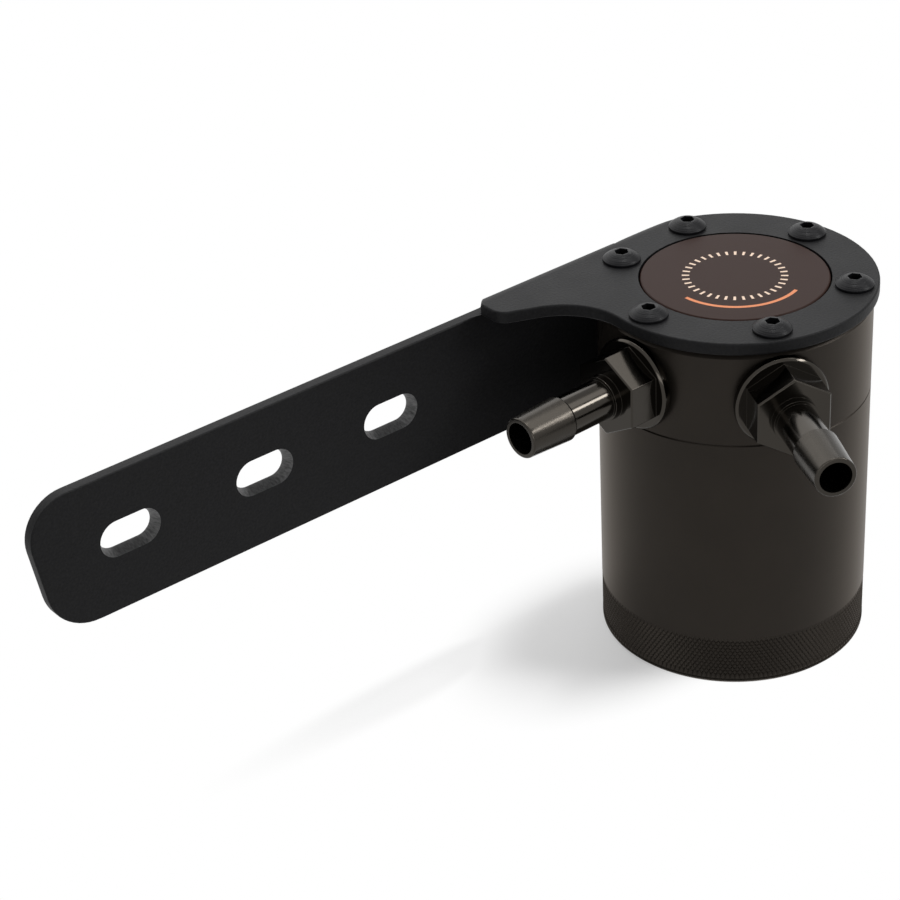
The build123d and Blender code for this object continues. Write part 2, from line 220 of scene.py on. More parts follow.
def add_node(tree, kind, inputs=None, **settings):
    """Add a node, set its settings, and give each named input a value or a link."""
    node = tree.nodes.new(kind)
    for name, value in settings.items():
        setattr(node, name, value)
    for name, value in (inputs or {}).items():
        if isinstance(value, bpy.types.NodeSocket):
            tree.links.new(value, node.inputs[name])
        else:
            node.inputs[name].default_value = value
    return node


def new_material(name):
    """An empty node material, its tree and the object's own coordinates."""
    material = bpy.data.materials.new(name)
    material.use_nodes = True
    tree = material.node_tree
    tree.nodes.clear()
    place = add_node(tree, "ShaderNodeTexCoord").outputs["Object"]
    return material, tree, place


def satin_anodised(name):
    """Black anodised aluminium, turned."""
    # A dyed oxide that the metal shows through: a faintly warm black with a soft gloss, which turns a warm
    # grey where the eye looks along the surface, with paler patches in the dye and fine lines round the axis.
    # The lines are drawn coarser than real ones, so that they show.
    colours = bpy.context.scene.catch_can_colours
    line_width, patch_width = 0.22 * MM, 14 * MM
    material, tree, place = new_material(name)
    height = add_node(tree, "ShaderNodeSeparateXYZ", {"Vector": place}).outputs["Z"]
    lines = add_node(
        tree,
        "ShaderNodeTexNoise",
        {"W": height, "Scale": 1 / line_width, "Detail": 2.0},
        noise_dimensions="1D",
    ).outputs["Fac"]
    patches = add_node(
        tree, "ShaderNodeTexNoise", {"Vector": place, "Scale": 1 / patch_width, "Detail": 3.0}
    ).outputs["Fac"]
    tone = add_node(
        tree,
        "ShaderNodeMix",
        {"Factor": patches, "A": colours.anodised, "B": colours.anodised_pale},
        data_type="RGBA",
    ).outputs["Result"]
    gloss = add_node(
        tree, "ShaderNodeMapRange", {"Value": lines, "To Min": 0.34, "To Max": 0.45}
    ).outputs["Result"]
    bump = add_node(
        tree, "ShaderNodeBump", {"Height": lines, "Strength": 0.12, "Distance": 0.02 * MM}
    ).outputs["Normal"]
    shader = add_node(
        tree, "ShaderNodeBsdfPrincipled",
        {
            "Base Color": tone,
            "Metallic": 0.5,
            "Roughness": gloss,
            "Normal": bump,
            "Specular IOR Level": 0.2,
            "Specular Tint": colours.anodised_gloss,
        },
    ).outputs["BSDF"]
    add_node(tree, "ShaderNodeOutputMaterial", {"Surface": shader})
    return material


def powder_coat():
    """Black powder coat on sheet metal."""
    # A baked film: matte black, with a sandy grain that catches the light from behind, and thin and paler on
    # the walls of the punched slots, in streaks that run through the sheet. The walls' paler tone is also
    # painted light: they are painted paler for the light they catch, the ends of the slots most of all.
    # Grain and streaks are drawn coarser than real ones, so that they show.
    colours = bpy.context.scene.catch_can_colours
    grain_width, patch_width, streak_width = 0.6 * MM, 9 * MM, 0.4 * MM
    along_wall = (1, 0.08, 1)
    material, tree, place = new_material("powder_coat_black")
    grain = add_node(
        tree, "ShaderNodeTexNoise", {"Vector": place, "Scale": 1 / grain_width, "Detail": 2.0}
    ).outputs["Fac"]
    patches = add_node(
        tree, "ShaderNodeTexNoise", {"Vector": place, "Scale": 1 / patch_width, "Detail": 2.0}
    ).outputs["Fac"]
    tone = add_node(
        tree, "ShaderNodeMix", {"Factor": grain, "A": colours.coat, "B": colours.coat_pale}, data_type="RGBA"
    ).outputs["Result"]
    punched = add_node(
        tree, "ShaderNodeVectorMath", {0: place, 1: along_wall}, operation="MULTIPLY"
    ).outputs["Vector"]
    streaks = add_node(
        tree, "ShaderNodeTexNoise", {"Vector": punched, "Scale": 1 / streak_width, "Detail": 2.0}
    ).outputs["Fac"]
    # The slots' walls: a thin coat with painted light on it, palest at the slot ends
    slot_wall_thin_and_lit = add_node(tree, "ShaderNodeAttribute", attribute_name="slot_wall_thin_and_lit").outputs["Fac"]
    thin = add_node(tree, "ShaderNodeMath", {0: slot_wall_thin_and_lit, 1: streaks}, operation="MULTIPLY").outputs["Value"]
    tone = add_node(
        tree, "ShaderNodeMix", {"Factor": thin, "A": tone, "B": colours.coat_thin_and_lit}, data_type="RGBA"
    ).outputs["Result"]
    gloss = add_node(
        tree, "ShaderNodeMapRange", {"Value": patches, "To Min": 0.42, "To Max": 0.52}
    ).outputs["Result"]
    bump = add_node(
        tree, "ShaderNodeBump", {"Height": grain, "Strength": 0.8, "Distance": 0.07 * MM}
    ).outputs["Normal"]
    shader = add_node(
        tree, "ShaderNodeBsdfPrincipled",
        {
            "Base Color": tone,
            "Roughness": gloss,
            "Normal": bump,
            "Specular IOR Level": 0.09,
        },
    ).outputs["BSDF"]
    add_node(tree, "ShaderNodeOutputMaterial", {"Surface": shader})
    return material


def gunmetal_anodised():
    """Dark anodised aluminium, bright-dipped and turned."""
    # A dyed oxide on polished metal: sharp dark and light streaks along the neck and on the hexagon's flats,
    # and softer ones on the barb, which is satin. The turned lines are drawn coarser than real ones, so that
    # they show.
    colours = bpy.context.scene.catch_can_colours
    sizes = bpy.context.scene.catch_can_sizes
    smear_width, line_width = 1.8 * MM, 0.2 * MM
    material, tree, place = new_material("gunmetal_anodised")
    level = add_node(
        tree, "ShaderNodeVectorMath", {0: place, 1: (1, 1, 0)}, operation="MULTIPLY"
    ).outputs["Vector"]
    reach = add_node(tree, "ShaderNodeVectorMath", {0: level}, operation="LENGTH").outputs["Value"]
    on_barb = add_node(
        tree, "ShaderNodeMath", {0: reach, 1: sizes.barb_start}, operation="GREATER_THAN"
    ).outputs["Value"]
    smear = add_node(
        tree, "ShaderNodeTexNoise", {"Vector": place, "Scale": 1 / smear_width, "Detail": 3.0}
    ).outputs["Fac"]
    satin = add_node(
        tree, "ShaderNodeMapRange", {"Value": smear, "To Min": 0.22, "To Max": 0.32}
    ).outputs["Result"]
    polish = add_node(
        tree, "ShaderNodeMapRange", {"Value": smear, "To Min": 0.1, "To Max": 0.16}
    ).outputs["Result"]
    gloss = add_node(tree, "ShaderNodeMix", {"Factor": on_barb, "A": polish, "B": satin}).outputs["Result"]
    lines = add_node(
        tree,
        "ShaderNodeTexNoise",
        {"W": reach, "Scale": 1 / line_width, "Detail": 2.0},
        noise_dimensions="1D",
    ).outputs["Fac"]
    bump = add_node(
        tree, "ShaderNodeBump", {"Height": lines, "Strength": 0.08, "Distance": 0.02 * MM}
    ).outputs["Normal"]
    shader = add_node(
        tree, "ShaderNodeBsdfPrincipled",
        {
            "Base Color": colours.fitting,
            "Metallic": 1.0,
            "Roughness": gloss,
            "Normal": bump,
        },
    ).outputs["BSDF"]
    add_node(tree, "ShaderNodeOutputMaterial", {"Surface": shader})
    return material


def brown_anodised():
    """Brown-black anodised aluminium, grained and printed."""
    # A dyed oxide on a blasted disc: an even, barely glossy brown-black, with a ring of ticks and an arc in
    # pale ink that lie flat on it. The grain is drawn coarser than a real one, so that it shows.
    colours = bpy.context.scene.catch_can_colours
    sizes = bpy.context.scene.catch_can_sizes
    grain_width, tick_count, tick_share = 0.4 * MM, 36, 0.3
    material, tree, place = new_material("brown_anodised")
    along = add_node(tree, "ShaderNodeSeparateXYZ", {"Vector": place}).outputs
    level = add_node(
        tree, "ShaderNodeVectorMath", {0: place, 1: (1, 1, 0)}, operation="MULTIPLY"
    ).outputs["Vector"]
    radius = add_node(tree, "ShaderNodeVectorMath", {0: level}, operation="LENGTH").outputs["Value"]
    angle = add_node(
        tree, "ShaderNodeMath", {0: along["Y"], 1: along["X"]}, operation="ARCTAN2"
    ).outputs["Value"]
    turn = add_node(
        tree, "ShaderNodeMath", {0: angle, 1: tick_count / (2 * pi)}, operation="MULTIPLY"
    ).outputs["Value"]
    beat = add_node(tree, "ShaderNodeMath", {0: turn}, operation="FRACT").outputs["Value"]
    in_tick = add_node(
        tree, "ShaderNodeMath", {0: beat, 1: 0.5, 2: tick_share / 2}, operation="COMPARE"
    ).outputs["Value"]
    in_ring = add_node(
        tree,
        "ShaderNodeMath",
        {0: radius, 1: sizes.tick_radius, 2: sizes.tick_length / 2},
        operation="COMPARE",
    ).outputs["Value"]
    ticks = add_node(tree, "ShaderNodeMath", {0: in_tick, 1: in_ring}, operation="MULTIPLY").outputs["Value"]
    in_reach = add_node(
        tree, "ShaderNodeMath", {0: angle, 1: sizes.arc_middle, 2: sizes.arc_reach}, operation="COMPARE"
    ).outputs["Value"]
    in_width = add_node(
        tree, "ShaderNodeMath", {0: radius, 1: sizes.arc_radius, 2: sizes.arc_width / 2}, operation="COMPARE"
    ).outputs["Value"]
    arc = add_node(tree, "ShaderNodeMath", {0: in_reach, 1: in_width}, operation="MULTIPLY").outputs["Value"]
    grain = add_node(
        tree, "ShaderNodeTexNoise", {"Vector": place, "Scale": 1 / grain_width, "Detail": 2.0}
    ).outputs["Fac"]
    ground = add_node(
        tree,
        "ShaderNodeMix",
        {"Factor": grain, "A": colours.badge, "B": colours.badge_pale},
        data_type="RGBA",
    ).outputs["Result"]
    ticked = add_node(
        tree, "ShaderNodeMix", {"Factor": ticks, "A": ground, "B": colours.tick}, data_type="RGBA"
    ).outputs["Result"]
    printed = add_node(
        tree, "ShaderNodeMix", {"Factor": arc, "A": ticked, "B": colours.arc}, data_type="RGBA"
    ).outputs["Result"]
    gloss = add_node(
        tree, "ShaderNodeMapRange", {"Value": grain, "To Min": 0.38, "To Max": 0.48}
    ).outputs["Result"]
    bump = add_node(
        tree, "ShaderNodeBump", {"Height": grain, "Strength": 0.15, "Distance": 0.02 * MM}
    ).outputs["Normal"]
    shader = add_node(
        tree, "ShaderNodeBsdfPrincipled",
        {
            "Base Color": printed,
            "Roughness": gloss,
            "Normal": bump,
            "Specular IOR Level": 0.06,
        },
    ).outputs["BSDF"]
    add_node(tree, "ShaderNodeOutputMaterial", {"Surface": shader})
    return material


def black_oxide():
    """Black oxide on turned steel."""
    # A thin oxide film: a bluish black with a satin gloss, broken up by turned rings round each screw's own
    # axis. The rings are drawn coarser than real ones, so that they show.
    colours = bpy.context.scene.catch_can_colours
    ring_width = 0.38 * MM
    material, tree, _ = new_material("black_oxide_steel")
    from_axis = add_node(tree, "ShaderNodeAttribute", attribute_name="from_axis").outputs["Fac"]
    rings = add_node(
        tree,
        "ShaderNodeTexNoise",
        {"W": from_axis, "Scale": 1 / ring_width, "Detail": 1.0},
        noise_dimensions="1D",
    ).outputs["Fac"]
    gloss = add_node(
        tree, "ShaderNodeMapRange", {"Value": rings, "To Min": 0.26, "To Max": 0.42}
    ).outputs["Result"]
    bump = add_node(
        tree, "ShaderNodeBump", {"Height": rings, "Strength": 1.0, "Distance": 0.11 * MM}
    ).outputs["Normal"]
    shader = add_node(
        tree, "ShaderNodeBsdfPrincipled",
        {
            "Base Color": colours.screw,
            "Roughness": gloss,
            "Normal": bump,
            "Specular IOR Level": 0.12,
        },
    ).outputs["BSDF"]
    add_node(tree, "ShaderNodeOutputMaterial", {"Surface": shader})
    return material


def nitrile_rubber():
    """Moulded nitrile rubber."""
    # A filled rubber: dull black with hardly a highlight, and a faint uneven bloom.
    colours = bpy.context.scene.catch_can_colours
    bloom_width = 2.5 * MM
    material, tree, place = new_material("nitrile_rubber")
    bloom = add_node(
        tree, "ShaderNodeTexNoise", {"Vector": place, "Scale": 1 / bloom_width, "Detail": 4.0}
    ).outputs["Fac"]
    gloss = add_node(
        tree, "ShaderNodeMapRange", {"Value": bloom, "To Min": 0.55, "To Max": 0.75}
    ).outputs["Result"]
    shader = add_node(
        tree, "ShaderNodeBsdfPrincipled",
        {
            "Base Color": colours.rubber,
            "Roughness": gloss,
            "Specular IOR Level": 0.4,
        },
    ).outputs["BSDF"]
    add_node(tree, "ShaderNodeOutputMaterial", {"Surface": shader})
    return material


def sintered_bronze():
    """Sintered bronze."""
    # Small round beads fused together: a dull gold, with painted shade in the pores between the beads.
    colours = bpy.context.scene.catch_can_colours
    grain_width = 0.5 * MM
    material, tree, place = new_material("sintered_bronze")
    grains = add_node(
        tree, "ShaderNodeTexVoronoi", {"Vector": place, "Scale": 1 / grain_width}
    ).outputs["Distance"]
    # Painted shade: darker towards the edge of each bead, where the pores lie
    tone = add_node(
        tree,
        "ShaderNodeMix",
        {"Factor": grains, "A": colours.bronze, "B": colours.bronze_pore_shade},
        data_type="RGBA",
    ).outputs["Result"]
    bump = add_node(
        tree, "ShaderNodeBump", {"Height": grains, "Strength": 0.8, "Distance": -0.15 * MM}
    ).outputs["Normal"]
    shader = add_node(
        tree, "ShaderNodeBsdfPrincipled",
        {
            "Base Color": tone,
            "Metallic": 1.0,
            "Roughness": 0.5,
            "Normal": bump,
        },
    ).outputs["BSDF"]
    add_node(tree, "ShaderNodeOutputMaterial", {"Surface": shader})
    return material


def lined_metal(name, colour, stretch, rough, spread=0.08):
    """Bare metal, drawn or brushed in one direction."""
    # A bare bright surface with long fine lines, which stretch each highlight across them. The lines are
    # drawn coarser than real ones, so that they show.
    line_width = 0.15 * MM
    material, tree, place = new_material(name)
    drawn = add_node(
        tree, "ShaderNodeVectorMath", {0: place, 1: stretch}, operation="MULTIPLY"
    ).outputs["Vector"]
    lines = add_node(
        tree, "ShaderNodeTexNoise", {"Vector": drawn, "Scale": 1 / line_width, "Detail": 2.0}
    ).outputs["Fac"]
    gloss = add_node(
        tree, "ShaderNodeMapRange", {"Value": lines, "To Min": rough - spread, "To Max": rough + spread}
    ).outputs["Result"]
    bump = add_node(
        tree, "ShaderNodeBump", {"Height": lines, "Strength": 0.2, "Distance": 0.02 * MM}
    ).outputs["Normal"]
    shader = add_node(
        tree, "ShaderNodeBsdfPrincipled",
        {
            "Base Color": colour,
            "Metallic": 1.0,
            "Roughness": gloss,
            "Normal": bump,
        },
    ).outputs["BSDF"]
    add_node(tree, "ShaderNodeOutputMaterial", {"Surface": shader})
    return material


def select_only(piece):
    """Leave one object selected and active, in object mode."""
    bpy.ops.object.select_all(action="DESELECT")
    piece.select_set(True)
    bpy.context.view_layer.objects.active = piece


def copy_of(node, name):
    """A copy of a CAD node to work on, with its triangles merged and its flat areas made one face."""
    select_only(frame["nodes"][node])
    bpy.ops.object.duplicate()
    piece = bpy.context.active_object
    piece.name = name
    piece.parent = None
    piece.matrix_world = Matrix.Identity(4)
    del piece["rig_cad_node"]
    bpy.ops.mesh.customdata_custom_splitnormals_clear()
    bpy.ops.object.mode_set(mode="EDIT")
    bpy.ops.mesh.select_all(action="SELECT")
    bpy.ops.mesh.remove_doubles(threshold=MERGE_DISTANCE)
    bpy.ops.mesh.dissolve_limited(angle_limit=FLAT_ANGLE)
    bpy.ops.object.mode_set(mode="OBJECT")
    return piece


def break_edges(piece, width):
    """Round a piece's sharp edges a little."""
    select_only(piece)
    bpy.ops.object.modifier_add(type="BEVEL")
    bevel = piece.modifiers[-1]
    bevel.width = width
    bevel.segments = 2
    bevel.limit_method = "ANGLE"
    bevel.angle_limit = EDGE_ANGLE
    bpy.ops.object.modifier_apply(modifier=bevel.name)
    bpy.ops.object.mode_set(mode="EDIT")
    bpy.ops.mesh.select_all(action="SELECT")
    bpy.ops.mesh.dissolve_degenerate(threshold=SEAM_DISTANCE)
    bpy.ops.object.mode_set(mode="OBJECT")


def shade(piece):
    """Shade a piece smooth, with its flats kept flat."""
    select_only(piece)
    bpy.ops.object.shade_smooth_by_angle(angle=SMOOTH_ANGLE)
    bpy.ops.object.modifier_add(type="WEIGHTED_NORMAL")
    piece.modifiers[-1].keep_sharp = True
    bpy.ops.object.modifier_apply(modifier=piece.modifiers[-1].name)


def seat(piece, node, material):
    """Let a finished piece stand for its CAD node: its body and its finish."""
    body = frame["nodes"][node]["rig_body"]
    piece.data.materials.clear()
    piece.data.materials.append(material)
    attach(piece, body)
    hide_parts(node)


def radius_of(place):
    """Distance of a point from the can's axis."""
    return Vector((place.x, place.y)).length


def in_slot(place):
    """Whether a point of the bracket lies in or on the rim of one of the arm's slots."""
    mounts = {row["name"]: row for row in frame["record"]["mounts"]}
    slots = mounts["bracket_slots_outer"]
    across, up = place.x - slots["pos_m"][0], place.z - slots["pos_m"][2]
    half = slots["dims"]["slot_length_mm"] * MM / 2 + SLOT_RIM
    spread = slots["dims"]["spacing_x_mm"] * MM / 2
    nearest = min(abs(across - middle) for middle in (-spread, 0, spread))
    return nearest < half and abs(up) < slots["dims"]["hole_r_mm"] * MM + SLOT_RIM


def select_parts(piece, kind, wanted):
    """Go into edit mode with only those vertices or faces selected whose points all pass a test."""
    select_only(piece)
    bpy.ops.object.mode_set(mode="EDIT")
    bpy.ops.mesh.select_mode(type=kind)
    bpy.ops.mesh.select_all(action="DESELECT")
    bpy.ops.object.mode_set(mode="OBJECT")
    points = piece.data.vertices
    if kind == "VERT":
        for point in points:
            point.select = wanted(point.co)
    else:
        for face in piece.data.polygons:
            face.select = all(wanted(points[v].co) for v in face.vertices)
    bpy.ops.object.mode_set(mode="EDIT")


def open_band(piece, radius, low, high):
    """Take the plain wall at one radius out of a turned piece, between two heights."""

    def on_band(place):
        level = low - BAND_TOLERANCE < place.z < high + BAND_TOLERANCE
        return level and abs(radius_of(place) - radius) < BAND_TOLERANCE

    select_parts(piece, "FACE", on_band)
    bpy.ops.mesh.delete(type="FACE")
    bpy.ops.object.mode_set(mode="OBJECT")


def join_band(piece, band, low, high):
    """Join a new band into the opening left for it, along its lower and its upper edge."""
    select_only(piece)
    band.select_set(True)
    bpy.ops.object.join()
    middle = (low + high) / 2
    for below in (True, False):
        bpy.ops.object.mode_set(mode="EDIT")
        bpy.ops.mesh.select_mode(type="EDGE")
        bpy.ops.mesh.select_all(action="DESELECT")
        bpy.ops.mesh.select_non_manifold(extend=False, use_wire=False, use_multi_face=False, use_verts=False)
        bpy.ops.object.mode_set(mode="OBJECT")
        for edge in piece.data.edges:
            if edge.select:
                edge.select = all((piece.data.vertices[v].co.z < middle) == below for v in edge.vertices)
        bpy.ops.object.mode_set(mode="EDIT")
        bpy.ops.mesh.bridge_edge_loops()
        bpy.ops.object.mode_set(mode="OBJECT")
    bpy.ops.object.mode_set(mode="EDIT")
    bpy.ops.mesh.select_all(action="SELECT")
    bpy.ops.mesh.normals_make_consistent(inside=False)
    bpy.ops.object.mode_set(mode="OBJECT")


def knurl_band(sizes, radius, low, high):
    """A band of diamond teeth: a grid of quads, every other point raised, and the rest cut down."""
    columns = 2 * round(2 * pi * radius / sizes.knurl_pitch)
    rows = round((high - low) / sizes.knurl_rise)
    step, rise = 2 * pi / columns, (high - low) / rows
    bpy.ops.object.select_all(action="DESELECT")
    bpy.ops.mesh.primitive_cylinder_add(
        vertices=columns,
        radius=radius,
        depth=high - low,
        end_fill_type="NOTHING",
        location=(0, 0, (low + high) / 2),
    )
    knurl = bpy.context.active_object
    bpy.ops.object.transform_apply(location=True)
    bpy.ops.object.mode_set(mode="EDIT")
    bpy.ops.mesh.select_mode(type="EDGE")
    bpy.ops.mesh.select_all(action="DESELECT")
    bpy.ops.object.mode_set(mode="OBJECT")
    for edge in knurl.data.edges:
        foot, top = (knurl.data.vertices[v].co.z for v in edge.vertices)
        edge.select = abs(foot - top) > rise
    bpy.ops.object.mode_set(mode="EDIT")
    bpy.ops.mesh.subdivide(number_cuts=rows - 1)
    bpy.ops.object.mode_set(mode="OBJECT")

    def tooth_or_groove(place):
        column, row = round(atan2(place.y, place.x) / step), round((place.z - low) / rise)
        return (column + row) % 2 if 0 < row < rows else None

    point_radius = radius + sizes.grip_recess
    for kind, new_radius in ((1, point_radius), (0, point_radius - sizes.knurl_depth)):
        select_parts(knurl, "VERT", lambda place: tooth_or_groove(place) == kind)
        share = new_radius / radius
        bpy.ops.transform.resize(value=(share, share, 1), center_override=(0, 0, 0))
        bpy.ops.object.mode_set(mode="OBJECT")
    bpy.ops.object.mode_set(mode="EDIT")
    bpy.ops.mesh.select_all(action="SELECT")
    bpy.ops.mesh.quads_convert_to_tris(quad_method="SHORTEST_DIAGONAL")
    bpy.ops.object.mode_set(mode="OBJECT")
    return knurl


def thread_band(sizes, radius, low, high, points=12, steps=120, spare_turns=2):
    """A band of rounded screw thread: one pitch of its outline, wound up the spigot and trimmed level."""
    pitch, depth = sizes.thread_pitch, sizes.thread_depth
    foot = low - pitch
    bpy.ops.object.select_all(action="DESELECT")
    bpy.ops.mesh.primitive_plane_add(
        size=pitch, location=(radius, 0, foot + pitch / 2), rotation=(pi / 2, 0, 0)
    )
    thread = bpy.context.active_object
    bpy.ops.object.transform_apply(location=True, rotation=True)
    select_parts(thread, "VERT", lambda place: place.x < radius)
    bpy.ops.mesh.delete(type="VERT")
    bpy.ops.mesh.select_all(action="SELECT")
    bpy.ops.mesh.subdivide(number_cuts=points - 1)
    bpy.ops.object.mode_set(mode="OBJECT")
    for point in thread.data.vertices:
        point.co.x = radius - depth * (1 - cos(2 * pi * (point.co.z - foot) / pitch)) / 2
    bpy.ops.object.modifier_add(type="SCREW")
    winding = thread.modifiers[-1]
    winding.screw_offset = pitch
    winding.iterations = ceil((high - low) / pitch) + spare_turns
    winding.steps = winding.render_steps = steps
    bpy.ops.object.modifier_apply(modifier=winding.name)
    bpy.ops.object.mode_set(mode="EDIT")
    bpy.ops.mesh.select_all(action="SELECT")
    bpy.ops.mesh.remove_doubles(threshold=SEAM_DISTANCE)
    bpy.ops.object.mode_set(mode="OBJECT")
    trim = pitch / points
    for height, cut in ((low + trim, {"clear_inner": True}), (high - trim, {"clear_outer": True})):
        bpy.ops.object.mode_set(mode="EDIT")
        bpy.ops.mesh.select_all(action="SELECT")
        bpy.ops.mesh.bisect(plane_co=(0, 0, height), plane_no=(0, 0, 1), threshold=MERGE_DISTANCE, **cut)
        bpy.ops.object.mode_set(mode="OBJECT")
    return thread


class CATCHCAN_OT_can(bpy.types.Operator):
    """Make the can, with the diamond knurl of its grip cut as real teeth"""

    bl_idname = "catchcan.can"
    bl_label = "Can"

    def execute(self, context):
        sizes = context.scene.catch_can_sizes
        can = copy_of("can_body", "can_knurled")
        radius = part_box("can_body")[1].x - sizes.grip_recess
        levels = [v.co.z for v in can.data.vertices if abs(radius_of(v.co) - radius) < BAND_TOLERANCE]
        low, high = min(levels), max(levels)
        open_band(can, radius, low, high)
        join_band(can, knurl_band(sizes, radius, low, high), low, high)
        bpy.ops.object.shade_smooth_by_angle(angle=SMOOTH_ANGLE)
        seat(can, "can_body", satin_anodised("satin_black_anodised_can"))
        return {"FINISHED"}


class CATCHCAN_OT_head(bpy.types.Operator):
    """Make the turned head, with the thread on its spigot"""

    bl_idname = "catchcan.head"
    bl_label = "Head"

    def execute(self, context):
        sizes = context.scene.catch_can_sizes
        head = copy_of("port_head", "head_turned")
        break_edges(head, sizes.edge_break)
        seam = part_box("can_body")[1].z
        spigot = [v.co for v in head.data.vertices if v.co.z < seam - BAND_TOLERANCE]
        radius = max(radius_of(place) for place in spigot)
        levels = [place.z for place in spigot if radius_of(place) > radius - BAND_TOLERANCE]
        low, high = min(levels), max(levels)
        open_band(head, radius, low, high)
        join_band(head, thread_band(sizes, radius, low, high), low, high)
        shade(head)
        seat(head, "port_head", satin_anodised("satin_black_anodised_head"))
        return {"FINISHED"}


class CATCHCAN_OT_bracket(bpy.types.Operator):
    """Make the folded bracket with its softened outline, slots and powder coat"""

    bl_idname = "catchcan.bracket"
    bl_label = "Bracket"

    def execute(self, context):
        sizes = context.scene.catch_can_sizes
        bracket = copy_of("mounting_bracket", "bracket_coated_sheet")
        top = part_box("mounting_bracket")[1].z
        self.square_tip(bracket, sizes, top)
        fold_end = self.run_out_bend(bracket, sizes)
        self.round_outline(bracket, sizes, fold_end)
        break_edges(bracket, sizes.edge_break)
        shade(bracket)
        self.mark_slots_thin_and_lit(bracket)
        seat(bracket, "mounting_bracket", powder_coat())
        return {"FINISHED"}

    def square_tip(self, bracket, sizes, top):
        """Carry the flange's straight end back over the bend, and cut the corner on the back of the bend."""
        end, fold, arm_top = -sizes.flange_reach, -sizes.fold_reach, top - sizes.arm_drop
        # The fold's end won't stay flat, so it is made triangles first
        select_parts(bracket, "FACE", lambda place: abs(place.x - fold) < BAND_TOLERANCE)
        bpy.ops.mesh.quads_convert_to_tris()
        bpy.ops.object.mode_set(mode="OBJECT")
        places = [point.co for point in bracket.data.vertices]
        straight = min(place.x for place in places if place.z > top - BAND_TOLERANCE)
        at_end = [place for place in places if place.x < straight + BAND_TOLERANCE and place.z > arm_top]
        end_back = max(place.y for place in at_end)
        for place in places:
            if place.z < arm_top - BAND_TOLERANCE or place.y < end_back - BAND_TOLERANCE:
                continue
            before_bend = place.y < sizes.bend_line + BAND_TOLERANCE
            if before_bend and end - BAND_TOLERANCE < place.x < fold + BAND_TOLERANCE:
                place.x = end
            elif abs(place.x - fold) < BAND_TOLERANCE:
                place.x = min(fold, end + CORNER_LEAN * (place.y - sizes.bend_line))
        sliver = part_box("mounting_bracket")[1].y - SLIVER_DEPTH
        foot = top - sizes.bend_radius - BAND_TOLERANCE
        select_parts(
            bracket, "VERT",
            lambda place: abs(place.x - fold) < BAND_TOLERANCE and place.y > sliver and place.z > foot,
        )
        bpy.ops.mesh.remove_doubles(threshold=SLIVER_WIDTH)
        bpy.ops.object.mode_set(mode="OBJECT")

    def run_out_bend(self, bracket, sizes, strips=4):
        """Let the bend run on into the back of the ring, so that its outline has no step."""
        line, radius = sizes.bend_line, sizes.bend_radius
        bottom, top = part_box("badge_disc")[0].z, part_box("mounting_bracket")[1].z
        # The ring is round, so it reaches as far to the back as it does to the right
        ring_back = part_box("mounting_bracket")[1].x
        for strip in range(strips):
            select_parts(
                bracket, "FACE",
                lambda place: place.z > bottom - BAND_TOLERANCE and place.y < ring_back + BAND_TOLERANCE,
            )
            level = line + (ring_back - line) * strip / strips
            bpy.ops.mesh.bisect(plane_co=(0, level, 0), plane_no=(0, 1, 0))
            bpy.ops.object.mode_set(mode="OBJECT")
        fold_end = max(v.co.x for v in bracket.data.vertices if v.co.y > ring_back + BAND_TOLERANCE)
        for point in bracket.data.vertices:
            place = point.co
            on_ring = min(abs(place.z - bottom), abs(place.z - top)) < BAND_TOLERANCE
            if on_ring and place.x > fold_end - BAND_TOLERANCE and place.y > line:
                place.z -= radius - sqrt(radius**2 - (place.y - line) ** 2)
        select_parts(
            bracket, "VERT",
            lambda place: abs(place.x - fold_end) < BAND_TOLERANCE and place.z > bottom and place.y > line,
        )
        bpy.ops.mesh.remove_doubles(threshold=FOLD_END_GAP)
        bpy.ops.object.mode_set(mode="OBJECT")
        return fold_end

    def round_outline(self, bracket, sizes, fold_end):
        """Round the edges of the sheet's outline, not those of its holes, slots or the bend's hidden end."""
        hole_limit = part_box("can_body")[1].x - sizes.edge_break
        select_only(bracket)
        bpy.ops.object.mode_set(mode="EDIT")
        bpy.ops.mesh.select_mode(type="EDGE")
        bpy.ops.mesh.select_all(action="DESELECT")
        bpy.ops.mesh.edges_select_sharp(sharpness=OUTLINE_ANGLE)
        bpy.ops.object.mode_set(mode="OBJECT")
        # A face left selected would bring all its edges back
        bracket.data.polygons.foreach_set("select", [False] * len(bracket.data.polygons))
        for edge in bracket.data.edges:
            if edge.select:
                places = [bracket.data.vertices[v].co for v in edge.vertices]
                outer = all(radius_of(place) > hole_limit and not in_slot(place) for place in places)
                edge.select = outer and all(
                    place.x < fold_end - BAND_TOLERANCE or place.y < sizes.bend_line for place in places
                )
        bpy.ops.object.mode_set(mode="EDIT")
        bpy.ops.mesh.bevel(offset=sizes.sheet_edge, segments=3, affect="EDGES", clamp_overlap=False)
        bpy.ops.object.mode_set(mode="OBJECT")
        # The bevel overshoots a little at the cut corner, so it is held at the arm's back
        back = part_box("mounting_bracket")[1].y
        for point in bracket.data.vertices:
            point.co.y = min(point.co.y, back)

    def mark_slots_thin_and_lit(self, bracket, side_mark=0.2, end_mark_lit=1.0, front_limit=0.9):
        """Mark the slots' walls, where the coat is thin and light is painted on, most of all at their ends.
        """
        points = bracket.data.vertices
        marks = []
        for face in bracket.data.polygons:
            on_wall = abs(face.normal.y) < front_limit and all(in_slot(points[v].co) for v in face.vertices)
            # Painted highlight: walls facing along the arm, the slot ends, get the palest tone
            marks.append(on_wall * (side_mark + (end_mark_lit - side_mark) * abs(face.normal.x)))
        bracket.data.attributes.new("slot_wall_thin_and_lit", "FLOAT", "FACE").data.foreach_set("value", marks)


class CATCHCAN_OT_badge(bpy.types.Operator):
    """Make the badge, with a plain printed ring of ticks and an arc"""

    bl_idname = "catchcan.badge"
    bl_label = "Badge"

    def execute(self, context):
        badge = copy_of("badge_disc", "badge_printed")
        break_edges(badge, context.scene.catch_can_sizes.edge_break)
        shade(badge)
        seat(badge, "badge_disc", brown_anodised())
        return {"FINISHED"}


